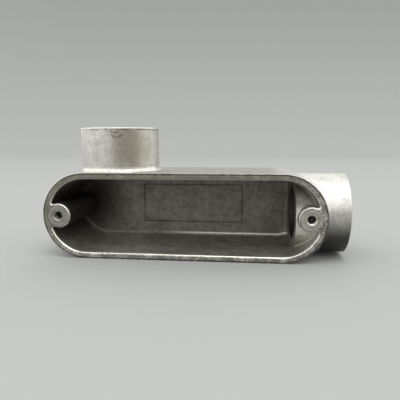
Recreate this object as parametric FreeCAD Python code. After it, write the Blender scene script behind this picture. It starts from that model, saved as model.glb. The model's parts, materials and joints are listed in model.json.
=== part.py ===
# Conduit body, LR pattern, 1 inch trade size: one aluminium die casting.
#
# The body is a trough with straight sides and round ends. Its rim, where the cover and gasket sit,
# lies in the plane y = 0 and faces -Y. The trough goes back to +Y. One hub leaves the right end along
# +X, and one leaves the top side near the left end along +Z. Both are bored for a taper pipe thread and
# end in a smooth throat that stops the conduit and protects the wires. Two bosses inside the ends take
# the cover screws.
#
# Origin: the middle of the cover-screw pattern, in the rim plane. Sizes are in millimetres and degrees.

import FreeCAD, Part
import math
import os

# --- Body -----------------------------------------------------------------------------------------
rim_radius = 22.3            # outer radius of the round ends: half the width of the body
end_spacing = 100.0          # between the centres of the two round ends
side_wall = 3.3              # wall thickness at the rim
back_wall = 3.7
core_draft = 0.8             # taper of the inside walls, so that the casting leaves its core
back_edge_round = 2.0        # outside edge round the back
rim_edge_round = 0.6         # outside edge of the rim
lip_round = 1.1              # inside edge of the rim
floor_fillet = 2.0           # inside corner round the back wall
ledge_fillet = 0.8           # inside corner where the walls meet the throat housing
foot_fillet = 0.5            # foot of the right boss, where it stands on the throat housing

# --- Cover-screw bosses ---------------------------------------------------------------------------
screw_inset = 4.8            # screw axis, inward from the inside of the end wall
boss_radius = 6.4
boss_blend = 0.9             # hollow between a boss and the end wall
spot_face_radius = 5.6       # faced seat on top of a boss
spot_face_depth = 0.12
screw_hole_radius = 2.08     # number 8-32 machine thread, bored to the bottom of its grooves
screw_hole_depth = 6.0
drill_point_angle = 118.0
countersink_radius = 2.8     # wide lead-in, in the rim plane
countersink_depth = 0.55

# --- Hubs -----------------------------------------------------------------------------------------
hub_side_inset = 1.3         # the hubs are this much narrower than the body, on each side
hub_front_inset = 2.7        # the rim stands this far in front of the hubs
hub_back_inset = 0.2         # and the body's back this far behind them
hub_wall = 4.4               # outside of a hub to the bottom of the thread's grooves
end_hub_length = 11.3        # mouth, beyond the outside of the right end
side_hub_length = 22.7       # mouth, above the top side
side_hub_inset = 13.2        # axis, inward from the centre of the left end
hub_blend = 2.0              # hollow where a hub leaves the body
mouth_edge_round = 0.5
mouth_chamfer = 0.9          # start of the thread
thread_length = 18.0         # from the mouth to the throat's shoulder
thread_pitch = 25.4 / 11.5   # 1-11.5 pipe thread
thread_height = 1.7          # bottom of a groove to the top of a ridge
thread_flat = 1 / 12         # width of the ridges' tops and the grooves' bottoms, in pitches
thread_fade = 3              # the last grooves are ever shallower, as the tap's point leaves them
throat_step = 3.3            # bottom of the thread's grooves to the throat
throat_round = 1.5           # smooth inner edge that the wires are pulled over
end_throat_length = 8.5
housing_wall = 2.45          # metal round the end hub's thread, inside the trough
housing_edge_round = 0.5

# --- Raised line round the bare place for a marking, on the back wall -----------------------------
frame_width = 58.7
frame_height = 22.3
frame_shift = 0.85           # its middle, to the right of and above the middle of the back wall
frame_line = 0.5
frame_relief = 0.25

# --- Wear: dents and small casting pits -----------------------------------------------------------
# On the side hub: degrees round from the front towards the right, depth below the mouth, and then the
# sweep and groove radii of each crescent, or the radius of the pit.
gouges = [(12.2, 5.0, 3.6, 0.45), (9.0, 2.8, 2.2, 0.3)]
hub_pit = (14.7, 8.6, 0.5)
gouge_tilt = 14.0            # the tool that left the gouges leaned this much into the hub
gouge_bite = 0.2
# On the rim of the right end: degrees up from the X axis, inset from the outer edge, and radius.
rim_pits = [(-19.9, 2.2, 0.5), (51.1, 2.25, 0.4)]
# On the rim under the side hub: inset from the outer edge, and radius.
top_pit = (1.3, 0.4)
# On the left boss: degrees up from the X axis, distance from the boss's centre, and radius.
boss_nick = (-39.0, 4.97, 0.45)

# --- Derived places -------------------------------------------------------------------------------
end_x = end_spacing / 2
hub_radius = rim_radius - hub_side_inset
hub_y = hub_front_inset + hub_radius
body_depth = hub_y + hub_radius + hub_back_inset
thread_root_radius = hub_radius - hub_wall
throat_radius = thread_root_radius - throat_step
trough_depth = body_depth - back_wall
trough_radius = rim_radius - side_wall
boss_x = end_x + trough_radius - screw_inset
trough_back_radius = trough_radius - trough_depth * math.tan(math.radians(core_draft))
end_mouth_x = end_x + rim_radius + end_hub_length
side_mouth_z = rim_radius + side_hub_length
side_hub_x = -end_x + side_hub_inset
throat_face_x = end_mouth_x - thread_length - end_throat_length
housing_radius = thread_root_radius + housing_wall
overrun = 3.0                # how far a cutting tool runs past the metal
tiny = 1e-4                  # tolerance when edges are picked by their place

RIGHT = FreeCAD.Vector(1, 0, 0)
BACK = FreeCAD.Vector(0, 1, 0)
UP = FreeCAD.Vector(0, 0, 1)


def point(x, y, z):
    return FreeCAD.Vector(x, y, z)


end_hub_mouth = point(end_mouth_x, hub_y, 0)
side_hub_mouth = point(side_hub_x, hub_y, side_mouth_z)


# --- Helpers --------------------------------------------------------------------------------------
def turned(profile, origin, axis, across):
    """Solid of revolution. The profile is a closed list of (radius, distance along the axis)."""
    corners = [origin + across * radius + axis * along for radius, along in profile]
    face = Part.Face(Part.makePolygon(corners + corners[:1]))
    return face.revolve(origin, axis, 360)


def samples(edge):
    """Three points inside an edge."""
    length = edge.LastParameter - edge.FirstParameter
    return [edge.valueAt(edge.FirstParameter + share * length) for share in (0.1, 0.5, 0.9)]


def edges_where(shape, test):
    """Edges whose sample points all pass the test."""
    return [edge for edge in shape.Edges if all(test(place) for place in samples(edge))]


def edges_round(shape, origin, axis, radius, low, high):
    """Edges on a cylinder round the axis, between two heights along it from the origin."""

    def on_cylinder(place):
        offset = place - origin
        height = offset.dot(axis)
        return abs((offset - axis * height).Length - radius) < 10 * tiny and low < height < high

    return edges_where(shape, on_cylinder)


def from_middle_line(place):
    """Distance from the line that joins the centres of the two round ends, seen from the front."""
    return math.hypot(max(abs(place.x) - end_x, 0), place.z)


# --- Outside --------------------------------------------------------------------------------------
def racetrack(front_radius, back_radius, depth):
    """Solid with straight sides and round ends, from the rim plane back."""
    profile = [(0, 0), (front_radius, 0), (back_radius, depth), (0, depth)]
    ends = [turned(profile, RIGHT * side * end_x, BACK, RIGHT) for side in (-1, 1)]
    section = [
        point(-end_x, 0, -front_radius),
        point(-end_x, 0, front_radius),
        point(-end_x, depth, back_radius),
        point(-end_x, depth, -back_radius),
    ]
    middle = Part.Face(Part.makePolygon(section + section[:1])).extrude(RIGHT * end_spacing)
    return middle.fuse(ends).removeSplitter()


def casting_outside():
    """The outside of the body with its two plain hubs."""
    body = racetrack(rim_radius, rim_radius, body_depth)
    back_edges = edges_where(body, lambda place: place.y > body_depth - tiny)
    body = body.makeFillet(back_edge_round, back_edges)

    end_hub = Part.makeCylinder(hub_radius, end_mouth_x - end_x, point(end_x, hub_y, 0), RIGHT)
    side_hub = Part.makeCylinder(hub_radius, side_mouth_z, point(side_hub_x, hub_y, 0), UP)
    body = body.fuse([end_hub, side_hub]).removeSplitter()

    end_base = edges_round(body, end_hub_mouth, RIGHT, hub_radius, -end_mouth_x, tiny - end_hub_length)
    side_base = edges_round(body, side_hub_mouth, UP, hub_radius, -side_mouth_z, tiny - side_hub_length)
    body = body.makeFillet(hub_blend, end_base + side_base)

    mouths = edges_where(body, lambda place: place.x > end_mouth_x - tiny)
    mouths += edges_where(body, lambda place: place.z > side_mouth_z - tiny)
    return body.makeFillet(mouth_edge_round, mouths)


# --- Inside ---------------------------------------------------------------------------------------
def throat_housing():
    """Metal round the end hub's thread and throat: it fills the trough's right end behind the boss."""
    length = end_x + rim_radius - throat_face_x
    barrel = Part.makeCylinder(housing_radius, length, point(throat_face_x, hub_y, 0), RIGHT)
    corner = point(throat_face_x, hub_y, -housing_radius)
    block = Part.makeBox(length, body_depth - hub_y, 2 * housing_radius, corner)
    housing = barrel.fuse(block).removeSplitter()
    face_edges = edges_where(
        housing, lambda place: place.x < throat_face_x + tiny and place.y < hub_y - tiny
    )
    return housing.makeFillet(housing_edge_round, face_edges)


def boss_blend_arc(side, across_sign):
    """Start on the end wall, middle and end on the boss of one hollow arc between the two."""
    wall_centre = RIGHT * side * end_x
    boss_centre = RIGHT * side * boss_x
    reach = boss_x - end_x
    from_wall = trough_radius - boss_blend
    from_boss = boss_radius + boss_blend
    along = (from_wall**2 - from_boss**2 + reach**2) / (2 * reach)
    across = across_sign * math.sqrt(from_wall**2 - along**2)
    centre = wall_centre + RIGHT * side * along + UP * across
    to_wall = (centre - wall_centre).normalize()
    to_boss = (boss_centre - centre).normalize()
    middle = (to_wall + to_boss).normalize()
    return [centre + to_wall * boss_blend, centre + middle * boss_blend, centre + to_boss * boss_blend]


def boss(side):
    """One cover-screw boss with its hollow blends into the end wall, as deep as the trough."""
    upper = boss_blend_arc(side, 1)
    lower = boss_blend_arc(side, -1)
    tip = RIGHT * side * (boss_x - boss_radius)
    inside_wall = side * (end_x + rim_radius - side_wall / 2)
    outline = [
        Part.Arc(*upper),
        Part.Arc(upper[2], tip, lower[2]),
        Part.Arc(*reversed(lower)),
        Part.LineSegment(lower[0], point(inside_wall, 0, lower[0].z)),
        Part.LineSegment(point(inside_wall, 0, lower[0].z), point(inside_wall, 0, upper[0].z)),
        Part.LineSegment(point(inside_wall, 0, upper[0].z), upper[0]),
    ]
    face = Part.Face(Part.Wire([curve.toShape() for curve in outline]))
    return face.extrude(BACK * (trough_depth + back_wall / 2))


def trough():
    """The space inside the casting, with its fillets."""
    core = racetrack(trough_radius, trough_back_radius, trough_depth).cut(throat_housing())
    face_edges = edges_where(
        core, lambda place: abs(place.x - throat_face_x) < tiny and place.y < trough_depth - tiny
    )
    corners = [edge for edge in face_edges if abs(samples(edge)[1].z) > throat_radius]
    core = core.makeFillet(ledge_fillet, corners)
    back_edges = edges_where(core, lambda place: place.y > trough_depth - tiny)
    core = core.makeFillet(floor_fillet, back_edges)
    core = core.cut([boss(-1), boss(1)])

    def at_boss_foot(place):
        from_hub = math.hypot(place.y - hub_y, place.z)
        from_boss = math.hypot(place.x - boss_x, place.z)
        return abs(from_hub - housing_radius) < 10 * tiny and abs(from_boss - boss_radius) < 10 * tiny

    return core.makeFillet(foot_fillet, edges_where(core, at_boss_foot))


def thread_line():
    """Line of the thread in section, from the mouth's chamfer inward, with one ring for each turn."""
    ridge_radius = thread_root_radius - thread_height
    flat = thread_pitch * thread_flat
    turns = math.floor((thread_length - mouth_chamfer) / thread_pitch)
    line = []
    for turn in range(turns):
        groove_radius = ridge_radius + thread_height * min(1, (turns - turn) / thread_fade)
        start = mouth_chamfer + turn * thread_pitch
        ridge = start + thread_pitch / 2
        line += [(groove_radius, -start), (groove_radius, -start - flat)]
        line += [(ridge_radius, -ridge), (ridge_radius, -ridge - flat)]
    return line + [(ridge_radius, -thread_length)]


def hub_bore(mouth, outward, across, depth):
    """Chamfer, thread and throat, from past the mouth to the given depth."""
    mouth_radius = thread_root_radius + mouth_chamfer
    profile = [(0, overrun), (mouth_radius + overrun, overrun), (mouth_radius, 0)]
    profile += thread_line()
    profile += [(throat_radius, -thread_length), (throat_radius, -depth), (0, -depth)]
    return turned(profile, mouth, outward, across)


def screw_hole(side):
    """Countersunk blind hole, as the drill leaves it."""
    point_depth = screw_hole_radius / math.tan(math.radians(drill_point_angle / 2))
    profile = [
        (0, -overrun),
        (countersink_radius, -overrun),
        (countersink_radius, 0),
        (screw_hole_radius, countersink_depth),
        (screw_hole_radius, screw_hole_depth),
        (0, screw_hole_depth + point_depth),
    ]
    return turned(profile, RIGHT * side * boss_x, BACK, RIGHT)


def spot_face(side):
    return Part.makeCylinder(
        spot_face_radius, overrun + spot_face_depth, point(side * boss_x, -overrun, 0), BACK
    )


def marking_frame():
    """Raised rectangular line on the back wall. The place inside it stays bare."""

    def slab(grow):
        width = frame_width + 2 * grow
        height = frame_height + 2 * grow
        corner = point(frame_shift - width / 2, trough_depth - frame_relief, frame_shift - height / 2)
        return Part.makeBox(width, frame_relief + back_wall / 2, height, corner)

    return slab(frame_line / 2).cut(slab(-frame_line / 2))


# --- Wear -----------------------------------------------------------------------------------------
def on_side_hub(degrees, below_mouth):
    """A place on the side hub's outside, and the outward direction there."""
    turn = math.radians(degrees)
    outward = RIGHT * math.sin(turn) - BACK * math.cos(turn)
    return side_hub_mouth - UP * below_mouth + outward * hub_radius, outward


def gouge(degrees, below_mouth, sweep, groove):
    """Crescent left by a round edge that leaned into the hub."""
    place, outward = on_side_hub(degrees, below_mouth)
    tilt = math.radians(gouge_tilt)
    downward = -UP * math.cos(tilt) - outward * math.sin(tilt)
    centre = place - outward * gouge_bite - downward * sweep
    return Part.makeTorus(sweep, groove, centre, outward * math.cos(tilt) - UP * math.sin(tilt))


def polar(centre_x, degrees, distance):
    """A place in the rim plane, given round a point on the X axis."""
    turn = math.radians(degrees)
    return point(centre_x + distance * math.cos(turn), 0, distance * math.sin(turn))


def wear_tools():
    tools = [gouge(*size) for size in gouges]
    pit_place, outward = on_side_hub(*hub_pit[:2])
    pits = [(pit_place + outward * hub_pit[2] / 2, hub_pit[2])]
    for degrees, inset, radius in rim_pits:
        pits.append((polar(end_x, degrees, rim_radius - inset), radius))
    pits.append((point(side_hub_x, 0, rim_radius - top_pit[0]), top_pit[1]))
    pits.append((polar(-boss_x, boss_nick[0], boss_nick[1]), boss_nick[2]))
    return tools + [Part.makeSphere(radius, place) for place, radius in pits]


# --- The casting ----------------------------------------------------------------------------------
def conduit_body():
    body = casting_outside().cut(trough())
    end_depth = thread_length + end_throat_length + overrun
    side_depth = side_mouth_z - trough_back_radius + overrun
    end_bore = hub_bore(end_hub_mouth, RIGHT, UP, end_depth)
    side_bore = hub_bore(side_hub_mouth, UP, RIGHT, side_depth)
    body = body.cut([end_bore, side_bore])

    throat_low = -end_mouth_x
    end_throat = edges_round(
        body, end_hub_mouth, RIGHT, throat_radius, throat_low, tiny - thread_length - end_throat_length
    )
    side_throat = edges_round(
        body, side_hub_mouth, UP, throat_radius, -side_mouth_z, trough_radius - side_mouth_z
    )
    body = body.makeFillet(throat_round, end_throat + side_throat)

    lip = edges_where(body, lambda place: place.y < tiny and from_middle_line(place) < rim_radius - tiny)
    body = body.makeFillet(lip_round, lip)
    rim_edge = edges_where(
        body, lambda place: place.y < tiny and from_middle_line(place) > rim_radius - tiny
    )
    body = body.makeFillet(rim_edge_round, rim_edge)

    cuts = [spot_face(side) for side in (-1, 1)]
    cuts += [screw_hole(side) for side in (-1, 1)]
    body = body.cut(cuts)
    body = body.fuse(marking_frame())
    return body.cut(wear_tools())


def main():
    os.makedirs("parts", exist_ok=True)
    body = conduit_body()
    solid = body.Solids[0]
    print("solids", len(body.Solids), "valid", solid.isValid(), "faces", len(solid.Faces))
    print("volume", round(solid.Volume), "box", solid.BoundBox)
    solid.exportStep("parts/conduit_body.step")


main()
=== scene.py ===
# %% [markdown]
# # Dressing a die-cast conduit body
#
# A conduit body is a junction in a run of steel conduit. Wires are pulled through its open side, which a
# cover closes later. This one is a single aluminium die casting: a long trough with a flat rim, a threaded
# hub on its right end, another on its top, and two bosses for the cover screws.
#
# The casting comes from CAD as a fixed frame. What is left for this lesson is what makes it look real: the
# fine threads of the two screw holes, and the finish of each surface. The frame is loaded first, because
# every place below is worked out from it.

# %% Load the frame
import bmesh
import bpy
import json
import math
from mathutils import Matrix, Vector


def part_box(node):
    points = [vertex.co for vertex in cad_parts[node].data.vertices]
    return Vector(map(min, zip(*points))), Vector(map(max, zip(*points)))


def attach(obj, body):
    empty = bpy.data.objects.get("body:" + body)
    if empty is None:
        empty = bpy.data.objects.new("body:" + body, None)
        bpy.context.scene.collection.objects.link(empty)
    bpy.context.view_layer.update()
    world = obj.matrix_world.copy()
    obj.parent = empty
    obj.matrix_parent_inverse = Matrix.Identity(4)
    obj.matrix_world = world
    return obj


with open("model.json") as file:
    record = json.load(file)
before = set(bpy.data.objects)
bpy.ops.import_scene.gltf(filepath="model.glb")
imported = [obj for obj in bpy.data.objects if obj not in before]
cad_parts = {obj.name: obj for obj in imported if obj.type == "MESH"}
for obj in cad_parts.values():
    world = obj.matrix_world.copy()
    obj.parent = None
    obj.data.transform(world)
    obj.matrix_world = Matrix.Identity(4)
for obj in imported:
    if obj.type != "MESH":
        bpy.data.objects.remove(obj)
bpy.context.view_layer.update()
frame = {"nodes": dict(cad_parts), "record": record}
casting = frame["nodes"]["conduit_body"]

# %% [markdown]
# ## Sizes
#
# Blender works in metres, and a maker thinks in millimetres, so `MM` turns one into the other. The places
# of the hubs and screws are read from the record's mounts and from the casting's box. They could be typed
# in, but then they would go wrong when the casting changes. The few sizes that neither holds, such as the
# wall's thickness, are named here once.

# %% Places and sizes
MM = 0.001
low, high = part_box("conduit_body")
mounts = {mount["name"]: mount for mount in frame["record"]["mounts"]}

RIM_RADIUS = -low.z                        # half the width of the body
SIDE_WALL = 3.3 * MM
BACK_WALL = 3.7 * MM
TROUGH_RADIUS = RIM_RADIUS - SIDE_WALL
TROUGH_BACK = high.y - BACK_WALL           # depth of the trough's floor below the rim's plane
END_X = -low.x - RIM_RADIUS                # centre of a round end

HUB_RADIUS = 21.0 * MM
THREAD_REACH = 18.0 * MM                   # from a hub's mouth to the shoulder where the conduit stops
MOUTH_RADIUS = 17.5 * MM
hub_y = mounts["end_hub"]["pos_m"][1]
end_mouth = Vector((high.x, hub_y, 0))
side_mouth = Vector((mounts["side_hub"]["pos_m"][0], hub_y, high.z))
screw_x = mounts["cover_screws"]["dims"]["spacing_x_mm"] / 2 * MM
print("end mouth", tuple(end_mouth), "side mouth", tuple(side_mouth), "round end centre", END_X)

# %% [markdown]
# ## Camera
#
# The camera comes first in the making, because all looks are judged through it. It could be aimed with a
# constraint, but a place and three angles are easier to adjust one at a time. It stands close to the body
# and a little above it, near the middle of its length, and looks slightly down and to the left. This
# close, the near rim looks large, and the inside of the trough shows.

# %% Camera
CAMERA_PLACE = Vector((31.5, -191.5, 39.2)) * MM
CAMERA_HEADING = 6.44                      # degrees, from +Y towards -X
CAMERA_DIP = 8.83                          # degrees below level
CAMERA_ROLL = -0.245
SENSOR_WIDTH = 36.0
LENS = 35.6

camera_data = bpy.data.cameras.new("camera")
camera_data.sensor_width = SENSOR_WIDTH
camera_data.lens = LENS
camera_data.clip_start = 5 * MM
camera = bpy.data.objects.new("camera", camera_data)
camera.matrix_world = (
    Matrix.Translation(CAMERA_PLACE)
    @ Matrix.Rotation(math.radians(CAMERA_HEADING), 4, "Z")
    @ Matrix.Rotation(math.radians(90 - CAMERA_DIP), 4, "X")
    @ Matrix.Rotation(math.radians(CAMERA_ROLL), 4, "Z")
)
bpy.context.scene.collection.objects.link(camera)
bpy.context.scene.camera = camera
bpy.context.scene.view_settings.view_transform = "Standard"
print("camera at", tuple(camera.matrix_world.translation))

# %% [markdown]
# ## Helpers for node trees
#
# Materials, the world and Geometry Nodes are all trees of nodes, so one helper adds a node to any of them.
# A helper for each kind of node would read shorter, but it would hide what the tree is made of. A colour
# is written as the sRGB hex that a colour picker shows, and `linear` turns it into the numbers that
# shaders work with.

# %% Node helpers
MATH = "ShaderNodeMath"
VECTOR_MATH = "ShaderNodeVectorMath"
MAP_RANGE = "ShaderNodeMapRange"
NOISE = "ShaderNodeTexNoise"
SMOOTH = {"interpolation_type": "SMOOTHSTEP"}


def add(tree, kind, *values, **settings):
    """Add a node, fill its inputs in order, and give its first output.

    A value is a number, a vector, a colour or another node's output. The settings come first, because
    they decide which inputs and outputs the node has.
    """
    node = tree.nodes.new(kind)
    for name, setting in settings.items():
        setattr(node, name, setting)
    for socket, value in zip([socket for socket in node.inputs if socket.enabled], values):
        if isinstance(value, bpy.types.NodeSocket):
            tree.links.new(value, socket)
        else:
            socket.default_value = value
    return next((socket for socket in node.outputs if socket.enabled), None)


def linear(hex_colour):
    """Linear RGBA of an sRGB hex colour."""

    def channel(value):
        return value / 12.92 if value <= 0.04045 else ((value + 0.055) / 1.055) ** 2.4

    return tuple(channel(int(hex_colour[i : i + 2], 16) / 255) for i in (0, 2, 4)) + (1.0,)


print("mid grey in linear light:", linear("808080"))

# %% [markdown]
# ## Floor and backdrop
#
# Bare metal shows its surroundings more than a colour of its own, so the floor matters as much as the
# lamps. A plane with a separate wall would show a line behind the part. One pale sheet that bends up into
# a low backdrop shows none.

# %% Floor and backdrop
FLOOR_HALF_WIDTH = 1.6
FLOOR_FRONT = -2.0
FLOOR_BACK = 1.2
BEND_RADIUS = 0.8
BEND_STEPS = 24
BACKDROP_TOP = 0.9
CARD = "a2a3a2"
CARD_ROUGHNESS = 0.9
CARD_GLOSS = 0.2

bend = [math.pi / 2 * step / BEND_STEPS for step in range(BEND_STEPS + 1)]
sheet_line = [(FLOOR_FRONT, 0.0)]
sheet_line += [(FLOOR_BACK + BEND_RADIUS * math.sin(a), BEND_RADIUS * (1 - math.cos(a))) for a in bend]
sheet_line += [(FLOOR_BACK + BEND_RADIUS, BACKDROP_TOP)]
corners = [(x, y, low.z + z) for x in (-FLOOR_HALF_WIDTH, FLOOR_HALF_WIDTH) for y, z in sheet_line]
steps = len(sheet_line)
faces = [(i, i + steps, i + steps + 1, i + 1) for i in range(steps - 1)]
floor_mesh = bpy.data.meshes.new("floor")
floor_mesh.from_pydata(corners, [], faces)
floor_mesh.polygons.foreach_set("use_smooth", [True] * len(faces))
floor = bpy.data.objects.new("floor", floor_mesh)
bpy.context.scene.collection.objects.link(floor)

floor_material = bpy.data.materials.new("pale_matt_card")
floor_material.use_nodes = True
card = floor_material.node_tree.nodes["Principled BSDF"]
card.inputs["Base Color"].default_value = linear(CARD)
card.inputs["Roughness"].default_value = CARD_ROUGHNESS
card.inputs["Specular IOR Level"].default_value = CARD_GLOSS
floor_mesh.materials.append(floor_material)
print("floor at z =", low.z)

# %% [markdown]
# ## Light tent
#
# Many small lamps would give metal many small glints. A tent gives it broad, soft tones, so the world is
# one: bright all round and brightest overhead, with a dim gap in front, where the person with the camera
# stands. The tops come out nearly white, the faces turned to the camera grey, and the inside of the trough
# dark. The gap is found from the direction alone, and it fades out upwards.

# %% Light tent
TENT_WALL = 1.3                            # brightness of the tent's walls, where 1 is white
TENT_ROOF = 1.5
TENT_COLOUR = "fdfefb"
WALL_TO_ROOF = (0.2, 0.6)                  # heights on a ball of radius 1, as all heights here
GAP_SHARE = 0.25                           # how much of the wall's brightness the gap has
GAP_AIM = (0.5, -0.87, 0.0)
GAP_BORDER = (0.7, 0.93)                   # cosines of the angles to the aim, from outside to inside
GAP_TOP = (0.42, 0.2)


def light_tent():
    """A world whose brightness depends on the direction alone."""
    world = bpy.data.worlds.new("light_tent")
    world.use_nodes = True
    tree = world.node_tree
    direction = add(tree, "ShaderNodeTexCoord").node.outputs["Generated"]
    upward = add(tree, "ShaderNodeSeparateXYZ", direction).node.outputs["Z"]
    tent = add(tree, MAP_RANGE, upward, *WALL_TO_ROOF, TENT_WALL, TENT_ROOF, **SMOOTH)
    towards_gap = add(tree, VECTOR_MATH, direction, GAP_AIM, operation="DOT_PRODUCT")
    gap = add(tree, MAP_RANGE, towards_gap, *GAP_BORDER, **SMOOTH)
    low_down = add(tree, MAP_RANGE, upward, *GAP_TOP, **SMOOTH)
    gap = add(tree, MATH, gap, low_down, operation="MULTIPLY")
    share = add(tree, MATH, gap, GAP_SHARE - 1, 1.0, operation="MULTIPLY_ADD")
    strength = add(tree, MATH, tent, share, operation="MULTIPLY")
    background = tree.nodes["Background"]
    background.inputs["Color"].default_value = linear(TENT_COLOUR)
    tree.links.new(strength, background.inputs["Strength"])
    return world


bpy.context.scene.world = light_tent()
print("world:", bpy.context.scene.world.name)

# %% [markdown]
# ## Lamp
#
# The tent lights the part from everywhere, so alone it would hardly give it a shadow. A lamp high in
# front adds a weak one. It is a broad area lamp, because the shadow of a point lamp has a hard edge.

# %% Lamp
LAMP_PLACE = Vector((0.3, -0.5, 1.5))
LAMP_SIZE = 0.8
LAMP_WATTS = 6.0

lamp_data = bpy.data.lights.new("roof_lamp", "AREA")
lamp_data.shape = "SQUARE"
lamp_data.size = LAMP_SIZE
lamp_data.energy = LAMP_WATTS
lamp = bpy.data.objects.new("roof_lamp", lamp_data)
lamp.location = LAMP_PLACE
lamp.rotation_euler = (-LAMP_PLACE).to_track_quat("-Z", "Y").to_euler()
bpy.context.scene.collection.objects.link(lamp)
print("lamp at", tuple(lamp.location), "aimed at the part")

# %% [markdown]
# ## How a finish is built
#
# The casting has several finishes that meet without a seam. They could be separate materials on separate
# faces, but then every border would be a hard line. Here they are layers of one material. Each layer is a
# colour, a roughness and a height that bumps the surface, and a mask says where it lies on the one below.
#
# Most patterns are noise. It lies mostly between 0.3 and 0.7, so a Map Range with smooth ends turns a part
# of that into 0 to 1. The higher its start, the less of the surface it covers.

# %% Layers and masks
def all_of(tree, *masks):
    """1 where every mask is 1. A plain number among them weakens the whole."""
    product = masks[0]
    for mask in masks[1:]:
        product = add(tree, MATH, product, mask, operation="MULTIPLY")
    return product


def tinted(tree, base, *coats):
    """A base colour with coats over it. Each coat is its mask and its hex colour."""
    colour = linear(base)
    for share, coat in coats:
        colour = add(tree, "ShaderNodeMix", share, colour, linear(coat), data_type="RGBA")
    return colour


def cover(tree, share, below, above):
    """Lay one finish over another where the mask is 1. A finish is (colour, roughness, height in m)."""
    return tuple(
        add(tree, "ShaderNodeMix", share, under, over, data_type=data_type)
        for data_type, under, over in zip(("RGBA", "FLOAT", "FLOAT"), below, above)
    )


print("a finish is a colour, a roughness and a height")

# %% [markdown]
# ## Where a point lies
#
# Masks come from Object coordinates, which give the real place in metres. They could be painted on a UV
# map, but the casting is loose triangles with no map, and a distance follows its shape exactly: from an
# axis for what a lathe or a drill made, and from the body's middle line for the rim. `Spot` keeps those
# distances, so that each is worked out once.

# %% Distances
ALONG_X = (0, 1, 1)                        # directions across an axis, for from_axis
ALONG_Y = (1, 0, 1)
ALONG_Z = (1, 1, 0)


def from_axis(tree, place, centre, across_axis):
    """Distance from an axis through the centre. across_axis has 1 for the directions that count."""
    offset = add(tree, VECTOR_MATH, place, centre, operation="SUBTRACT")
    across = add(tree, VECTOR_MATH, offset, across_axis, operation="MULTIPLY")
    return add(tree, VECTOR_MATH, across, operation="LENGTH")


def from_middle_line(tree, x, z):
    """Distance from the line that joins the centres of the round ends, seen from the front."""
    along = add(tree, MATH, x, operation="ABSOLUTE")
    past_end = add(tree, MATH, along, END_X, operation="SUBTRACT")
    past_end = add(tree, MATH, past_end, 0.0, operation="MAXIMUM")
    flat = add(tree, "ShaderNodeCombineXYZ", past_end, 0.0, z)
    return add(tree, VECTOR_MATH, flat, operation="LENGTH")


def unreached(tree, at):
    """1 in the trough and the side throat, which the tumbling stones don't reach."""
    in_trough = all_of(
        tree,
        add(tree, MAP_RANGE, at.reach, TROUGH_RADIUS + 0.4 * MM, TROUGH_RADIUS, **SMOOTH),
        add(tree, MAP_RANGE, at.y, 0.4 * MM, 1.4 * MM, **SMOOTH),
        add(tree, MATH, at.y, TROUGH_BACK + BACK_WALL / 2, operation="LESS_THAN"),
    )
    in_throat = all_of(
        tree,
        add(tree, MATH, at.side_radius, MOUTH_RADIUS, operation="LESS_THAN"),
        add(tree, MATH, at.z, TROUGH_RADIUS - MM, operation="GREATER_THAN"),
    )
    return add(tree, MATH, in_trough, in_throat, operation="MAXIMUM")


class Spot:
    """Where a point of the casting lies: the numbers that its masks are made from."""

    def __init__(self, tree):
        self.place = add(tree, "ShaderNodeTexCoord").node.outputs["Object"]
        self.x, self.y, self.z = add(tree, "ShaderNodeSeparateXYZ", self.place).node.outputs
        self.reach = from_middle_line(tree, self.x, self.z)
        self.end_radius = from_axis(tree, self.place, end_mouth, ALONG_X)
        self.side_radius = from_axis(tree, self.place, side_mouth, ALONG_Z)
        self.inside = unreached(tree, self)


print("masks are made from distances; the rim's outside is", RIM_RADIUS, "m from the middle line")

# %% [markdown]
# ## Blots, lines and ragged edges
#
# Stains and dirt have no tidy borders. A blot is a soft ellipsoid, a line is a narrow band of a distance,
# and adding a little noise to the distance makes the edge of either wander. Painting them by hand would
# look as good, but couldn't be adjusted by changing one number.

# %% Blots and lines
BLOT_EDGE = 1.2                            # in shares of the blot's reach
BLOT_CORE = 0.35


def wander(tree, place, size, detail, roughness, width):
    """A number that strays from 0 by up to half of `width`, in lumps about `size` metres wide."""
    lumps = add(tree, NOISE, place, 1 / size, detail, roughness)
    centred = add(tree, MATH, lumps, 0.5, operation="SUBTRACT")
    return add(tree, MATH, centred, width, operation="MULTIPLY")


def patch(tree, place, middle, reach, ragged=0.0):
    """1 at the middle of a soft blot, 0 a little beyond its reach. ragged moves its edge about."""
    offset = add(tree, VECTOR_MATH, place, middle, operation="SUBTRACT")
    scaled = add(tree, VECTOR_MATH, offset, reach, operation="DIVIDE")
    distance = add(tree, VECTOR_MATH, scaled, operation="LENGTH")
    distance = add(tree, MATH, distance, ragged, operation="ADD")
    return add(tree, MAP_RANGE, distance, BLOT_EDGE, BLOT_CORE, **SMOOTH)


def soft_line(tree, value, middle, edge, core):
    """1 where a value is less than `core` from the middle, fading to 0 at `edge`."""
    off_middle = add(tree, MATH, value, middle, operation="SUBTRACT")
    off_middle = add(tree, MATH, off_middle, operation="ABSOLUTE")
    return add(tree, MAP_RANGE, off_middle, edge, core, **SMOOTH)


print("blots and lines have soft edges")
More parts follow.
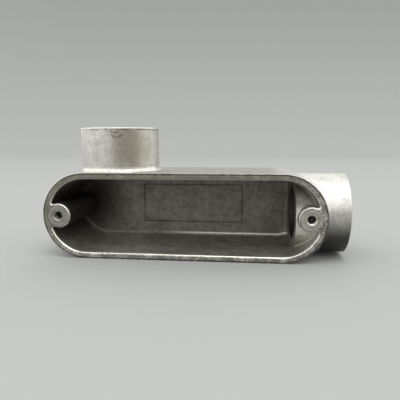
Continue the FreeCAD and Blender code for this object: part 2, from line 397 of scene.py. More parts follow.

# %% [markdown]
# ## Tumbled outside
#
# An aluminium-silicon alloy, shot into a steel mould, comes out with a thin grey skin. The castings are
# then tumbled with small stones, which leaves a fine satin grain, brightest where the stones hit most. One
# flat grey would look like paint, so noise varies it at two sizes. On the side hub, hands and oil have
# left a brown tone and a darker band. Painted shade darkens the flat long sides and the end hub's
# underside. The fine grain is about 0.8 mm, coarser than real, so that it shows.

# %% Tumbled finish
TUMBLED = "dad8d3"
TUMBLED_DULL = "c4c2bc"
SPECK = "6f6c66"                           # small hollows that the stones don't reach
OILY = "a39c8e"
GREY_BAND = "aaa79f"
FLAT_SIDE_SHADE = "8a8882"                       # painted shade on the flat long sides
UNDERSIDE_SHADE = "3c3b38"                       # painted shade on the end hub's underside
CLOUD_SIZE = 6 * MM
STONE_MARK_SIZE = 0.8 * MM
STONE_MARK_DEPTH = 0.03 * MM

hub_front = hub_y - HUB_RADIUS
oil_middle = (side_mouth.x + 11 * MM, hub_front, side_mouth.z - 9 * MM)
band_middle = (side_mouth.x, hub_front, side_mouth.z - 14 * MM)
SIDE_HUB_STAINS = (                        # middle, reach, strength and colour
    (oil_middle, (12 * MM, 18 * MM, 17 * MM), 0.85, OILY),
    (band_middle, (7 * MM, 14 * MM, 16 * MM), 0.3, GREY_BAND),
)


def shaded_places(tree, at):
    """Masks of painted shade: the flat long sides, and the end hub's underside."""
    end_wall_x = END_X + RIM_RADIUS
    out = add(tree, MATH, at.z, operation="ABSOLUTE")
    along = add(tree, MATH, at.x, operation="ABSOLUTE")
    flat_side_shade = all_of(
        tree,
        add(tree, MATH, out, RIM_RADIUS, 0.4 * MM, operation="COMPARE"),
        add(tree, MAP_RANGE, along, END_X + 4 * MM, END_X - 8 * MM, **SMOOTH),
        0.6,
    )
    underside_shade = all_of(
        tree,
        add(tree, MAP_RANGE, at.z, 5 * MM, -11 * MM, **SMOOTH),
        add(tree, MATH, at.x, end_wall_x - 2 * MM, operation="GREATER_THAN"),
        0.95,
    )
    return flat_side_shade, underside_shade


def tumbled(tree, at):
    cloud = add(tree, NOISE, at.place, 1 / CLOUD_SIZE, 5.0, 0.6)
    marks = add(tree, NOISE, at.place, 1 / STONE_MARK_SIZE, 3.0, 0.7)
    ragged = wander(tree, at.place, 5 * MM, 5.0, 0.65, 0.9)
    stains = [
        (all_of(tree, patch(tree, at.place, middle, reach, ragged), strength), stain)
        for middle, reach, strength, stain in SIDE_HUB_STAINS
    ]
    dull = add(tree, MAP_RANGE, cloud, 0.35, 0.7, **SMOOTH)
    specks = add(tree, MAP_RANGE, marks, 0.42, 0.72, 0.0, 0.42, **SMOOTH)
    # Painted shade on the flat long sides and the end hub's underside.
    flat_side_shade, underside_shade = shaded_places(tree, at)
    shaded = ((underside_shade, UNDERSIDE_SHADE), (flat_side_shade, FLAT_SIDE_SHADE))
    colour = tinted(tree, TUMBLED, (dull, TUMBLED_DULL), *stains, (specks, SPECK), *shaded)
    rough = add(tree, MAP_RANGE, cloud, 0.3, 0.7, 0.34, 0.46, **SMOOTH)
    return colour, rough, add(tree, MATH, marks, STONE_MARK_DEPTH, operation="MULTIPLY")


print("tumbled finish with", len(SIDE_HUB_STAINS), "stains on the side hub")

# %% [markdown]
# ## Inside skin
#
# The stones don't reach into the trough, so it keeps the skin that the mould left: duller, a little
# lumpy, with brown stains from the oil that lets the casting leave the mould. It is darker than the
# outside, partly as the mould's skin and partly as painted shade, and more painted shade darkens it
# towards the back wall. A large blot of painted shade makes the left end nearly black.

# %% Inside finish
# The inside's colour is darker than the outside's partly as painted shade.
SKIN = "a09d95"
SKIN_STAIN_AND_SHADE = "75716a"
SKIN_DARK = "63605a"
SKIN_PAINTED_SHADE = "34322d"
LUMP_SIZE = 2.2 * MM
LUMP_HEIGHT = 0.05 * MM
STAIN_SIZE = 9 * MM
# A blot of painted shade that makes the left end nearly black.
PAINTED_SHADE_MIDDLE = (-END_X - 10 * MM, high.y / 2, 2 * MM)
PAINTED_SHADE_REACH = (24 * MM, 44 * MM, 23 * MM)


def inside_skin(tree, at):
    lumps = add(tree, NOISE, at.place, 1 / LUMP_SIZE, 4.0, 0.6)
    stains = add(tree, NOISE, at.place, 1 / STAIN_SIZE, 6.0, 0.7)
    # Painted shade: darker towards the back wall, and the blot at the left end.
    shade_depths = (TROUGH_BACK - 2.5 * MM, TROUGH_BACK - 0.5 * MM)
    shade_blot = patch(tree, at.place, PAINTED_SHADE_MIDDLE, PAINTED_SHADE_REACH)
    coats = (
        (add(tree, MAP_RANGE, stains, 0.38, 0.66, 0.0, 0.75, **SMOOTH), SKIN_STAIN_AND_SHADE),
        (add(tree, MAP_RANGE, lumps, 0.45, 0.75, 0.0, 0.3, **SMOOTH), SKIN_DARK),
        (add(tree, MAP_RANGE, at.y, *shade_depths, 0.0, 0.45, **SMOOTH), SKIN_STAIN_AND_SHADE),
        (all_of(tree, shade_blot, 0.92), SKIN_PAINTED_SHADE),
    )
    rough = add(tree, MAP_RANGE, lumps, 0.3, 0.7, 0.6, 0.74, **SMOOTH)
    return tinted(tree, SKIN, *coats), rough, add(tree, MATH, lumps, LUMP_HEIGHT, operation="MULTIPLY")


print("inside finish, burnt round", PAINTED_SHADE_MIDDLE)

# %% [markdown]
# ## Belt-ground rim
#
# The rim is ground flat on a belt, which runs along the body and leaves scratches in that direction. The
# scratches are noise, stretched along the body by a Mapping node, which costs nothing in the mesh. They
# are drawn about 0.4 mm apart, coarser than a real belt's. Oily hands hold the body by its upper left
# part, so the rim is browner towards there.

# %% Ground finish
GROUND = "d4d1c9"
GROUND_DARK = "7f7c74"
HANDLED = "76736a"
BELT_STRETCH = (0.3, 1.0, 1.0)
SCRATCH_SIZE = 0.45 * MM
SCRATCH_DEPTH = 0.02 * MM
CLOUD_ON_RIM = 7 * MM                      # size of the darker places between the scratches


def ground(tree, at):
    unmoved = unturned = (0.0, 0.0, 0.0)
    along_belt = add(tree, "ShaderNodeMapping", at.place, unmoved, unturned, BELT_STRETCH)
    scratches = add(tree, NOISE, along_belt, 1 / SCRATCH_SIZE, 5.0, 0.7)
    cloud = add(tree, NOISE, at.place, 1 / CLOUD_ON_RIM, 3.0, 0.55)
    marks = add(tree, MATH, cloud, 0.6, scratches, operation="MULTIPLY_ADD")
    dark = add(tree, MAP_RANGE, marks, 0.65, 0.88, **SMOOTH)
    towards_hand = add(tree, MATH, at.x, -0.2, at.z, operation="MULTIPLY_ADD")
    towards_hand = add(tree, MATH, dark, 12 * MM, towards_hand, operation="MULTIPLY_ADD")
    handled = add(tree, MAP_RANGE, towards_hand, -12 * MM, 28 * MM, 0.0, 0.8, **SMOOTH)
    colour = tinted(tree, GROUND, (dark, GROUND_DARK), (handled, HANDLED))
    rough = add(tree, MAP_RANGE, scratches, 0.3, 0.7, 0.34, 0.5, **SMOOTH)
    return colour, rough, add(tree, MATH, scratches, SCRATCH_DEPTH, operation="MULTIPLY")


print("ground finish, scratches", SCRATCH_SIZE, "m apart")

# %% [markdown]
# ## Turned and burnished metal
#
# A turning tool leaves a ring for each step of its feed. Noise along one number, the distance from the
# axis, gives such rings, and unlike a regular wave it makes each a little different. Burnished metal is
# what cloths, gloves and wires have rubbed: smoother and brighter than the rest, without a pattern. Its
# bright colour also serves as a painted highlight on edges and faces that catch the light.

# %% Turned and burnished finishes
TURNED = "d0cdc6"
TURNED_DARK = "908d85"
RING_DEPTH = 0.02 * MM
SMUDGE_SIZE = 3 * MM
# Bright metal, also used as a painted highlight.
BURNISHED_AND_HIGHLIT = "e9e7e1"
BURNISHED_AND_HIGHLIT_DULL = "b9b6ae"
WEAR_SIZE = 1.5 * MM
WEAR_DEPTH = 0.01 * MM


def turned(tree, place, radius, feed):
    rings = add(tree, NOISE, radius, 1 / feed, 3.0, noise_dimensions="1D")
    smudges = add(tree, NOISE, place, 1 / SMUDGE_SIZE, 4.0, 0.55)
    coats = (
        (add(tree, MAP_RANGE, rings, 0.35, 0.65, 0.2, 0.7, **SMOOTH), TURNED_DARK),
        (add(tree, MAP_RANGE, smudges, 0.4, 0.7, 0.0, 0.6, **SMOOTH), TURNED_DARK),
    )
    rough = add(tree, MAP_RANGE, rings, 0.3, 0.7, 0.28, 0.4, **SMOOTH)
    return tinted(tree, TURNED, *coats), rough, add(tree, MATH, rings, RING_DEPTH, operation="MULTIPLY")


def burnished_and_highlit(tree, place):
    wear = add(tree, NOISE, place, 1 / WEAR_SIZE, 4.0, 0.55)
    dull = add(tree, MAP_RANGE, wear, 0.45, 0.75, **SMOOTH)
    rough = add(tree, MAP_RANGE, wear, 0.3, 0.7, 0.3, 0.45, **SMOOTH)
    height = add(tree, MATH, wear, WEAR_DEPTH, operation="MULTIPLY")
    return tinted(tree, BURNISHED_AND_HIGHLIT, (dull, BURNISHED_AND_HIGHLIT_DULL)), rough, height


print("turned and burnished finishes are ready")

# %% [markdown]
# ## Brightened edges
#
# From here on, each step lays finishes over those that the casting has so far, and a later one hides an
# earlier one. Three edges are made bright: the foot of the side hub; the rounded inner lip of the rim,
# where the bright colour is partly wear and partly a painted highlight; and the corner at the trough's
# floor, where it is a painted highlight. A Bevel node could find edges by itself, but it would find all
# of them, and only these three are brightened.

# %% Brightened edges
FOOT_HALF_WIDTH = 24 * MM                  # along the body, from the side hub's axis
FOOT_MIDDLE = RIM_RADIUS + 1.3 * MM        # height of the blend at the foot
FOOT_HALF_HEIGHT = 1.25 * MM
LIP_WIDTH = 1.3 * MM
FLOOR_CORNER_Y = TROUGH_BACK - 2.2 * MM
FLOOR_CORNER_REACH = TROUGH_RADIUS - 2.8 * MM


def brightened(tree, at, finish):
    hub_foot = all_of(
        tree,
        add(tree, MATH, at.x, side_mouth.x, FOOT_HALF_WIDTH, operation="COMPARE"),
        add(tree, MATH, at.z, FOOT_MIDDLE, FOOT_HALF_HEIGHT, operation="COMPARE"),
        add(tree, MATH, at.side_radius, MOUTH_RADIUS, operation="GREATER_THAN"),
        0.8,
    )
    # Painted highlight on the rim's rounded inner lip, partly standing for wear.
    inner_lip = all_of(
        tree,
        add(tree, MATH, at.reach, TROUGH_RADIUS + LIP_WIDTH, operation="LESS_THAN"),
        add(tree, MAP_RANGE, at.y, 1.6 * MM, 1.1 * MM, **SMOOTH),
    )
    # Painted highlight along the corner at the trough's floor.
    floor_corner = all_of(
        tree,
        add(tree, MAP_RANGE, at.y, FLOOR_CORNER_Y, FLOOR_CORNER_Y + MM, **SMOOTH),
        add(tree, MAP_RANGE, at.reach, FLOOR_CORNER_REACH, FLOOR_CORNER_REACH + 0.8 * MM, **SMOOTH),
        add(tree, MAP_RANGE, at.x, -20 * MM, 10 * MM, 0.0, 0.6, **SMOOTH),
        at.inside,
    )
    bright = burnished_and_highlit(tree, at.place)
    for bright_edge in (hub_foot, inner_lip, floor_corner):
        finish = cover(tree, bright_edge, finish, bright)
    return finish


print("three edges are rubbed bright")

# %% [markdown]
# ## Right end of the trough
#
# The end hub's throat opens into the trough through a block of metal behind the right boss. Its bore is
# rough, because no tool finishes it, and painted shade makes it nearly black. A blot of painted highlight
# brightens the lower face of the block. The bore and the face meet at a rounded edge, so the bore's mask
# is taken out of the face's.

# %% Right end
HOUSING_X = 57.3 * MM                      # front of the metal round the end hub's throat
THROAT_EDGE = 14.8 * MM                    # where the rounded throat meets the thread's shoulder
# Painted shade in the throat's bore.
PAINTED_SHADE = (linear(SKIN_PAINTED_SHADE), 0.6, 0.0)
# A blot of painted highlight on the lower face of the block.
FACE_MIDDLE = (HOUSING_X + MM, hub_y / 2, -5 * MM)
FACE_REACH = (14 * MM, 34 * MM, 11 * MM)


def right_end(tree, at, finish):
    throat = all_of(
        tree,
        add(tree, MATH, at.end_radius, THROAT_EDGE, operation="LESS_THAN"),
        add(tree, MATH, at.x, end_mouth.x - THREAD_REACH + 0.1 * MM, operation="LESS_THAN"),
        add(tree, MATH, at.x, HOUSING_X - 0.5 * MM, operation="GREATER_THAN"),
    )
    face = all_of(
        tree,
        at.inside,
        add(tree, MATH, at.x, HOUSING_X, operation="GREATER_THAN"),
        add(tree, MATH, 1.0, throat, operation="SUBTRACT"),
        patch(tree, at.place, FACE_MIDDLE, FACE_REACH),
    )
    # Painted shade in the bore, then a painted highlight on the face.
    finish = cover(tree, all_of(tree, throat, 0.85), finish, PAINTED_SHADE)
    return cover(tree, face, finish, burnished_and_highlit(tree, at.place))


print("right end, face at x =", HOUSING_X)

# %% [markdown]
# ## Dark line beside the raised frame
#
# A raised line on the trough's floor frames the place for a marking, which is left bare. A thin, patchy
# dark line is painted along it. It could be modelled, but it is thinner than paper, so a mask does. It is
# made from how far a point is past the frame's sides, which is 0 on the line itself.

# %% Dark line beside the frame
# One dark colour, for dirt and for painted shade.
GRIME_AND_SHADE = "2e2c27"
DRY_DARK = (linear(GRIME_AND_SHADE), 0.8, 0.0)
GREASY_DIRT_AND_SHADE = (linear(GRIME_AND_SHADE), 0.7, 0.0)
LINE_PATCH_SIZE = 5 * MM
FRAME_HALF = {"x": 29.35 * MM, "z": 11.15 * MM}
FRAME_MIDDLE = {"x": 0.85 * MM, "z": 0.85 * MM}


def frame_dark_line(tree, at, finish):
    past_sides = []
    for axis, value in (("x", at.x), ("z", at.z)):
        off_middle = add(tree, MATH, value, FRAME_MIDDLE[axis], operation="SUBTRACT")
        off_middle = add(tree, MATH, off_middle, operation="ABSOLUTE")
        past_sides.append(add(tree, MATH, off_middle, FRAME_HALF[axis], operation="SUBTRACT"))
    past_frame = add(tree, MATH, *past_sides, operation="MAXIMUM")
    patches = add(tree, NOISE, at.place, 1 / LINE_PATCH_SIZE, 4.0, 0.55)
    # A thin, patchy dark line along the frame.
    darkened = all_of(
        tree,
        soft_line(tree, past_frame, 0.0, 0.6 * MM, 0.2 * MM),
        add(tree, MAP_RANGE, patches, 0.3, 0.6, 0.25, 0.55, **SMOOTH),
        add(tree, MATH, at.y, TROUGH_BACK, MM, operation="COMPARE"),
    )
    return cover(tree, darkened, finish, DRY_DARK)


print("frame's middle", FRAME_MIDDLE, "half size", FRAME_HALF)

# %% [markdown]
# ## Rim and screw seats
#
# The belt grinds everything in the rim's plane, so its mask is simply a depth near 0. Then a turning
# cutter faces a seat round each screw hole, and the countersink follows. Both holes lie at the same
# distance left and right, so the sign of x picks the nearer one, and one mask does for both. Grease
# gathers where the seat and the countersink end.

# %% Rim and seats
OILY_METAL = (linear(HANDLED), 0.45, 0.0)
SEAT_RADIUS = 5.6 * MM
SEAT_FEED = 0.8 * MM                       # drawn coarser than real, so that the rings show
DIRT_RINGS = (SEAT_RADIUS, 3.3 * MM)       # at the seat's edge, and just outside the countersink
GREASE_SIZE = 2.5 * MM
CUT_DEPTH = 8 * MM                         # a little more than the screw hole with its drilled point
RIM_DEPTH = (0.25 * MM, 0.13 * MM)         # the rim's mask is 1 down to the second, 0 below the first


def rim_and_seats(tree, at, finish):
    on_rim = add(tree, MAP_RANGE, at.y, *RIM_DEPTH, **SMOOTH)
    finish = cover(tree, on_rim, finish, ground(tree, at))

    side = add(tree, MATH, at.x, operation="SIGN")
    hole_x = add(tree, MATH, side, screw_x, operation="MULTIPLY")
    hole = add(tree, "ShaderNodeCombineXYZ", hole_x)
    radius = from_axis(tree, at.place, hole, ALONG_Y)
    on_seat = all_of(
        tree,
        add(tree, MATH, radius, SEAT_RADIUS, operation="LESS_THAN"),
        add(tree, MATH, at.y, CUT_DEPTH, operation="LESS_THAN"),
    )
    finish = cover(tree, on_seat, finish, turned(tree, at.place, radius, SEAT_FEED))
    oily = add(tree, MAP_RANGE, at.x, 20 * MM, -60 * MM, 0.0, 0.55, **SMOOTH)
    finish = cover(tree, all_of(tree, on_seat, oily), finish, OILY_METAL)

    patches = add(tree, NOISE, at.place, 1 / GREASE_SIZE, 4.0, 0.55)
    patchy = add(tree, MAP_RANGE, patches, 0.45, 0.65, 0.0, 0.65, **SMOOTH)
    near_rim = add(tree, MATH, at.y, 0.3 * MM, operation="LESS_THAN")
    for ring_radius in DIRT_RINGS:
        ring = soft_line(tree, radius, ring_radius, 0.35 * MM, 0.1 * MM)
        finish = cover(tree, all_of(tree, ring, patchy, near_rim), finish, GREASY_DIRT_AND_SHADE)
    return finish


print("seats of radius", SEAT_RADIUS, "at x = +-", screw_x)

# %% [markdown]
# ## Hubs
#
# Mouths, chamfers and threads are all cut by tools that turn round the hub's axis, so a distance from it
# and a place along it say where the turned finish lies. Both hubs are made the same way, so a loop does
# them. The mouth's outer edge is rubbed. A ragged dark line is painted below the side hub's mouth, and
# painted shade in its gouges, which are where a point lies a little nearer the axis than the hub's
# outside.

# %% Hub finishes
MOUTH_FEED = 0.3 * MM
MOUTH_EDGE_WIDTH = 0.8 * MM
DARK_LINE_Z = side_mouth.z - 1.1 * MM
DARK_PATCH_SIZE = 4 * MM
GOUGE_RADIUS = HUB_RADIUS - 0.3 * MM
GOUGE_MIDDLE = side_mouth.z - 6 * MM
GOUGE_HALF_HEIGHT = 5 * MM


def turned_hubs(tree, at, finish):
    bright = burnished_and_highlit(tree, at.place)
    for radius, along, mouth in ((at.end_radius, at.x, end_mouth.x), (at.side_radius, at.z, side_mouth.z)):
        on_mouth = add(tree, MATH, along, mouth - 0.2 * MM, operation="GREATER_THAN")
        in_bore = all_of(
            tree,
            add(tree, MATH, radius, MOUTH_RADIUS + 0.1 * MM, operation="LESS_THAN"),
            add(tree, MATH, along, mouth - THREAD_REACH + 0.2 * MM, operation="GREATER_THAN"),
        )
        cut = add(tree, MATH, on_mouth, in_bore, operation="MAXIMUM")
        finish = cover(tree, cut, finish, turned(tree, at.place, radius, MOUTH_FEED))
        edge = all_of(
            tree,
            add(tree, MATH, radius, HUB_RADIUS - MOUTH_EDGE_WIDTH, operation="GREATER_THAN"),
            add(tree, MAP_RANGE, along, mouth - 0.6 * MM, mouth - 0.3 * MM, 0.0, 0.7, **SMOOTH),
        )
        finish = cover(tree, edge, finish, bright)
    return finish


def side_hub_dark_marks(tree, at, finish):
    strayed = add(tree, MATH, at.z, wander(tree, at.place, 2 * MM, 4.0, 0.55, 2 * MM), operation="ADD")
    patches = add(tree, NOISE, at.place, 1 / DARK_PATCH_SIZE, 3.0, 0.55)
    # A ragged dark line below the mouth.
    below_mouth = all_of(
        tree,
        soft_line(tree, strayed, DARK_LINE_Z, 0.4 * MM, 0.1 * MM),
        add(tree, MAP_RANGE, patches, 0.4, 0.55, **SMOOTH),
        0.65,
    )
    # Painted shade in the gouges.
    gouge_shade = all_of(
        tree,
        add(tree, MATH, at.side_radius, GOUGE_RADIUS, 0.25 * MM, operation="COMPARE"),
        add(tree, MATH, at.z, GOUGE_MIDDLE, GOUGE_HALF_HEIGHT, operation="COMPARE"),
        0.25,
    )
    for dark_mark in (below_mouth, gouge_shade):
        finish = cover(tree, dark_mark, finish, GREASY_DIRT_AND_SHADE)
    return finish


print("hubs are turned", THREAD_REACH, "m deep")

# %% [markdown]
# ## Pores and the rim's outer edge
#
# The belt opens small pores in the casting, which fill with dirt. A point that is deeper than the rim's
# plane, but within its flat band, lies in one. A ragged dark line is painted at the rim's outer edge,
# where the belt has left a burr. A clean line would look drawn, so noise moves it in and out.

# %% Rim's pores and edge line
RIM_ROUND = 0.6 * MM                       # outside edge of the rim
FLAT_BAND = (TROUGH_RADIUS + 1.2 * MM, RIM_RADIUS - 1.1 * MM)
PORE_MIDDLE = 0.35 * MM                    # depth below the rim's plane
PORE_HALF_DEPTH = 0.3 * MM


def rim_pores_and_edge_line(tree, at, finish):
    in_pore = all_of(
        tree,
        add(tree, MATH, at.reach, FLAT_BAND[0], operation="GREATER_THAN"),
        add(tree, MATH, at.reach, FLAT_BAND[1], operation="LESS_THAN"),
        add(tree, MATH, at.y, PORE_MIDDLE, PORE_HALF_DEPTH, operation="COMPARE"),
    )
    finish = cover(tree, in_pore, finish, DRY_DARK)
    strayed = wander(tree, at.place, 1.2 * MM, 3.0, 0.55, 1.2 * MM)
    strayed = add(tree, MATH, at.reach, strayed, operation="ADD")
    # A ragged dark line at the rim's outer edge.
    edge_line = all_of(
        tree,
        soft_line(tree, strayed, RIM_RADIUS - RIM_ROUND, 0.45 * MM, 0.1 * MM),
        add(tree, MATH, at.y, RIM_ROUND, operation="LESS_THAN"),
        0.85,
    )
    return cover(tree, edge_line, finish, GREASY_DIRT_AND_SHADE)


print("rim's dirt line at", RIM_RADIUS - RIM_ROUND, "m from the middle line")

# %% [markdown]
# ## The casting's material
#
# Now the steps run one after the other, and the result goes to the shader. The whole casting is bare
# metal, which reflects light in its own colour, so Metallic is 1 all over and is set on the shader itself.
# Heights are in metres, so the bump's distance is 1.

# %% Cast aluminium
def bare_metal(name):
    """A material that is metal all over, and its shader."""
    material = bpy.data.materials.new(name)
    material.use_nodes = True
    shader = material.node_tree.nodes["Principled BSDF"]
    shader.inputs["Metallic"].default_value = 1.0
    return material, shader


def cast_aluminium():
    material, shader = bare_metal("die_cast_aluminium_tumbled_ground_and_turned")
    tree = material.node_tree
    at = Spot(tree)
    finish = cover(tree, at.inside, tumbled(tree, at), inside_skin(tree, at))
    for step in (brightened, right_end, frame_dark_line, rim_and_seats, turned_hubs, side_hub_dark_marks, rim_pores_and_edge_line):
        finish = step(tree, at, finish)
    colour, rough, height = finish
    bump = add(tree, "ShaderNodeBump", 1.0, 1.0)
    tree.links.new(height, bump.node.inputs["Height"])
    for output, socket in ((colour, "Base Color"), (rough, "Roughness"), (bump, "Normal")):
        tree.links.new(output, shader.inputs[socket])
    return material


casting.data.materials[0] = cast_aluminium()
print("casting's material:", casting.data.materials[0].name)

# %% [markdown]
# ## Shape of a thread
#
# The cover screws have 32 turns to the inch. In CAD their holes are plain, as wide as the bottom of the
# grooves, so the ridges stand inward from the wall. A small triangle could be swept along a helix, but its
# ends would then have to be closed and faded by hand. Instead a formula gives the radius for each depth
# and turn: ridges and grooves of 60 degrees, with flats a twelfth of a pitch wide. The last grooves fade,
# as those of a tap do, and the countersink cuts the first ridge off.

# %% Thread's radius
ROWS_PER_PITCH = 12
HALF_FLAT = 0.5 / ROWS_PER_PITCH


def thread_radius(tree, given, depth, turns):
    """Radius of the thread's surface, where turns is 0 to 1 round the hole."""
    past_start = add(tree, MATH, depth, given["Start Depth"], operation="SUBTRACT")
    pitches = add(tree, MATH, past_start, given["Pitch"], operation="DIVIDE")
    phase = add(tree, MATH, pitches, turns, operation="SUBTRACT")
    phase = add(tree, MATH, phase, 2.0 + HALF_FLAT, operation="ADD")
    phase = add(tree, MATH, phase, operation="FRACT")
    from_ridge = add(tree, MATH, phase, 0.5, operation="SUBTRACT")
    from_ridge = add(tree, MATH, from_ridge, operation="ABSOLUTE")
    groove = add(tree, MAP_RANGE, from_ridge, HALF_FLAT, 0.5 - HALF_FLAT)

    left = add(tree, MATH, given["End Depth"], depth, operation="SUBTRACT")
    fade = add(tree, MATH, left, given["Fade Length"], operation="DIVIDE")
    fade = add(tree, MATH, fade, 1.0, operation="MINIMUM")
    cut = add(tree, MATH, groove, fade, operation="MULTIPLY")
    ridge = add(tree, MATH, given["Groove Radius"], given["Ridge Height"], operation="SUBTRACT")
    radius = add(tree, MATH, cut, given["Ridge Height"], ridge, operation="MULTIPLY_ADD")

    narrowed = add(tree, MATH, depth, given["Mouth Slope"], operation="MULTIPLY")
    countersink = add(tree, MATH, given["Mouth Radius"], narrowed, operation="SUBTRACT")
    return add(tree, MATH, radius, countersink, operation="MAXIMUM")


print("a thread has", ROWS_PER_PITCH, "rows of faces in each pitch")

# %% [markdown]
# ## A sleeve for one hole
#
# A thread follows a rule and repeats, which is work for Geometry Nodes. A flat grid is rolled into a
# sleeve, and its rows climb one pitch in each turn. The sleeve's outside is sunk in the metal, which makes
# it a closed solid, as real metal is.
#
# The grid's columns go round the hole. Its rows are, in order: one on the outside at the start, those of
# the thread, one on the outside at the end, and one that closes the loop on the first.

# %% Sleeve
WELD_DISTANCE = 1e-6


def sleeve(tree, given):
    """One threaded sleeve. +Y goes down the hole, and depth counts from the rim's plane."""
    rows = add(tree, MATH, given["Thread Rows"], 3.0, operation="ADD")
    columns = add(tree, MATH, given["Columns"], 1.0, operation="ADD")
    grid = add(tree, "GeometryNodeMeshGrid", 1.0, 1.0, columns, rows)
    flat = add(tree, "ShaderNodeSeparateXYZ", add(tree, "GeometryNodeInputPosition")).node.outputs
    turns = add(tree, MATH, flat["X"], 0.5, operation="ADD")
    share = add(tree, MATH, flat["Y"], 0.5, operation="ADD")
    last_row = add(tree, MATH, rows, 1.0, operation="SUBTRACT")
    row = add(tree, MATH, share, last_row, operation="MULTIPLY")
    row = add(tree, MATH, row, operation="ROUND")

    # A thread row climbs with the turn, and is held between the sleeve's two ends.
    climb = add(tree, MATH, row, 1.0, operation="SUBTRACT")
    climb = add(tree, MATH, climb, float(ROWS_PER_PITCH), operation="DIVIDE")
    climb = add(tree, MATH, climb, 1.0, operation="SUBTRACT")
    climb = add(tree, MATH, climb, turns, operation="ADD")
    depth = add(tree, MATH, climb, given["Pitch"], given["Start Depth"], operation="MULTIPLY_ADD")
    depth = add(tree, MATH, depth, given["Start Depth"], operation="MAXIMUM")
    depth = add(tree, MATH, depth, given["End Depth"], operation="MINIMUM")
    radius = thread_radius(tree, given, depth, turns)

    # Rows of the sleeve's outside: the first and the last, which meet, and the one before the last.
    end_row = add(tree, MATH, given["Thread Rows"], 1.0, operation="ADD")
    at_end = add(tree, MATH, row, end_row, 0.1, operation="COMPARE")
    first = add(tree, MATH, row, 0.5, operation="LESS_THAN")
    last = add(tree, MATH, row, end_row, operation="GREATER_THAN")
    at_start = add(tree, MATH, first, last, operation="ADD")
    sunk = add(tree, MATH, at_start, at_end, operation="ADD")
    outside = add(tree, MATH, given["Groove Radius"], given["Backing"], operation="ADD")
    radius = add(tree, "GeometryNodeSwitch", sunk, radius, outside, input_type="FLOAT")
    depth = add(tree, "GeometryNodeSwitch", at_start, depth, given["Start Depth"], input_type="FLOAT")
    depth = add(tree, "GeometryNodeSwitch", at_end, depth, given["End Depth"], input_type="FLOAT")

    angle = add(tree, MATH, turns, math.tau, operation="MULTIPLY")
    across, up = [
        add(tree, MATH, add(tree, MATH, angle, operation=wave), radius, operation="MULTIPLY")
        for wave in ("COSINE", "SINE")
    ]
    rolled = add(tree, "ShaderNodeCombineXYZ", across, depth, up)
    rolled = add(tree, "GeometryNodeSetPosition", grid, True, rolled)
    return add(tree, "GeometryNodeMergeByDistance", rolled, True, WELD_DISTANCE)


print("a sleeve has 3 rows more than its thread")

# %% [markdown]
# ## The row of tapped holes
#
# Both holes are the same, so the tree makes one sleeve and puts an instance of it at each. Its sizes are
# named inputs, which lets the same tree make another screw's thread. Instances are made real at the end,
# because an export to other programs drops them.

# %% Thread tree
def thread_tree():
    tree = bpy.data.node_groups.new("tapped_holes", "GeometryNodeTree")
    lengths = ("Pitch", "Groove Radius", "Ridge Height", "Start Depth", "End Depth", "Mouth Radius",
               "Mouth Slope", "Fade Length", "Backing", "Spacing")
    for name in lengths:
        tree.interface.new_socket(name, in_out="INPUT", socket_type="NodeSocketFloat")
    for name in ("Columns", "Thread Rows", "Holes"):
        tree.interface.new_socket(name, in_out="INPUT", socket_type="NodeSocketInt")
    tree.interface.new_socket("Finish", in_out="INPUT", socket_type="NodeSocketMaterial")
    tree.interface.new_socket("Geometry", in_out="OUTPUT", socket_type="NodeSocketGeometry")
    given = add(tree, "NodeGroupInput").node.outputs

    first_x = add(tree, MATH, given["Spacing"], -0.5, operation="MULTIPLY")
    first_hole = add(tree, "ShaderNodeCombineXYZ", first_x)
    to_next = add(tree, "ShaderNodeCombineXYZ", given["Spacing"])
    holes = add(tree, "GeometryNodeMeshLine", given["Holes"], first_hole, to_next)
    threads = add(tree, "GeometryNodeInstanceOnPoints", holes, True, sleeve(tree, given))
    threads = add(tree, "GeometryNodeRealizeInstances", threads)
    threads = add(tree, "GeometryNodeSetMaterial", threads, True, given["Finish"])
    add(tree, "NodeGroupOutput", threads)
    return tree


tapped_holes = thread_tree()
print("thread tree:", len(tapped_holes.nodes), "nodes")

# %% [markdown]
# ## From a tree to a mesh
#
# A Geometry Nodes modifier could stay on the piece, but a plain mesh is safer to hand on. The tree's
# inputs are set by their identifiers, because two inputs may share a name. Then the evaluated mesh is
# copied, and the modifier goes.

# %% Run a tree and keep its mesh
def made_by(tree, name, values):
    """An object with the mesh that a Geometry Nodes tree makes from the given inputs."""
    piece = bpy.data.objects.new(name, bpy.data.meshes.new(name))
    bpy.context.scene.collection.objects.link(piece)
    modifier = piece.modifiers.new("shape", "NODES")
    modifier.node_group = tree
    sockets = {item.name: item.identifier for item in tree.interface.items_tree if item.in_out == "INPUT"}
    for socket_name, value in values.items():
        modifier[sockets[socket_name]] = value
    made = piece.evaluated_get(bpy.context.evaluated_depsgraph_get())
    mesh = bpy.data.meshes.new_from_object(made)
    piece.modifiers.remove(modifier)
    piece.data = mesh
    return piece


print("made_by turns a tree into a plain mesh")

# %% [markdown]
# ## Threads of the screw holes
#
# A tap cuts clean, bright metal, and leaves smears of cutting oil in it. In a hole 4 mm wide little of
# that is seen, so two tones of one noise do. Both are dark, as painted shade in the hole, and the darker
# one stands for smears of oil. The thread starts at the bottom of the countersink and ends just above the
# drill's point.

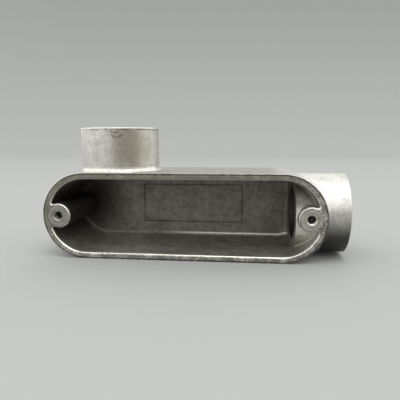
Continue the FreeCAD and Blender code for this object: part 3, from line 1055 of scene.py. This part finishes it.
# %% Screw threads
# Both tones are darkened as painted shade in the hole.
TAPPED_SHADED = "6f6c66"
TAPPED_SHADED_SMEAR = "3f3d39"
SCREW_PITCH = 25.4 / 32 * MM
COUNTERSINK_RADIUS = 2.8 * MM
COUNTERSINK_DEPTH = 0.55 * MM
THREAD_END = 5.9 * MM                      # the hole is 6 mm deep before its drilled point
RIDGE_HEIGHT = 0.35 * MM
SUNK_IN_METAL = 0.4 * MM
groove_radius = mounts["cover_screws"]["dims"]["hole_r_mm"] * MM
OIL_SIZE = 1.2 * MM


def tapped_aluminium_in_painted_shade():
    material, shader = bare_metal("tapped_aluminium_in_painted_shade")
    tree = material.node_tree
    place = add(tree, "ShaderNodeTexCoord").node.outputs["Object"]
    oil = add(tree, NOISE, place, 1 / OIL_SIZE, 3.0, 0.55)
    smear = add(tree, MAP_RANGE, oil, 0.4, 0.7, **SMOOTH)
    rough = add(tree, MAP_RANGE, oil, 0.3, 0.7, 0.28, 0.42, **SMOOTH)
    tree.links.new(tinted(tree, TAPPED_SHADED, (smear, TAPPED_SHADED_SMEAR)), shader.inputs["Base Color"])
    tree.links.new(rough, shader.inputs["Roughness"])
    return material


screw_threads = made_by(
    tapped_holes,
    "screw_threads",
    {
        "Pitch": SCREW_PITCH,
        "Groove Radius": groove_radius,
        "Ridge Height": RIDGE_HEIGHT,
        "Start Depth": COUNTERSINK_DEPTH,
        "End Depth": THREAD_END,
        "Mouth Radius": COUNTERSINK_RADIUS,
        "Mouth Slope": (COUNTERSINK_RADIUS - groove_radius) / COUNTERSINK_DEPTH,
        "Fade Length": 2 * SCREW_PITCH,
        "Backing": SUNK_IN_METAL,
        "Spacing": 2 * screw_x,
        "Columns": 48,
        "Thread Rows": (math.ceil((THREAD_END - COUNTERSINK_DEPTH) / SCREW_PITCH) + 1) * ROWS_PER_PITCH,
        "Holes": 2,
        "Finish": tapped_aluminium_in_painted_shade(),
    },
)
check = bmesh.new()
check.from_mesh(screw_threads.data)
print("screw threads:", len(screw_threads.data.polygons), "faces, signed volume in mm3",
      check.calc_volume(signed=True) / MM**3, "open edges", sum(not e.is_manifold for e in check.edges))
check.free()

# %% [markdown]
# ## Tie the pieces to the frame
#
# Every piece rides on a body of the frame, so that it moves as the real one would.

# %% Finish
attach(screw_threads, "root")
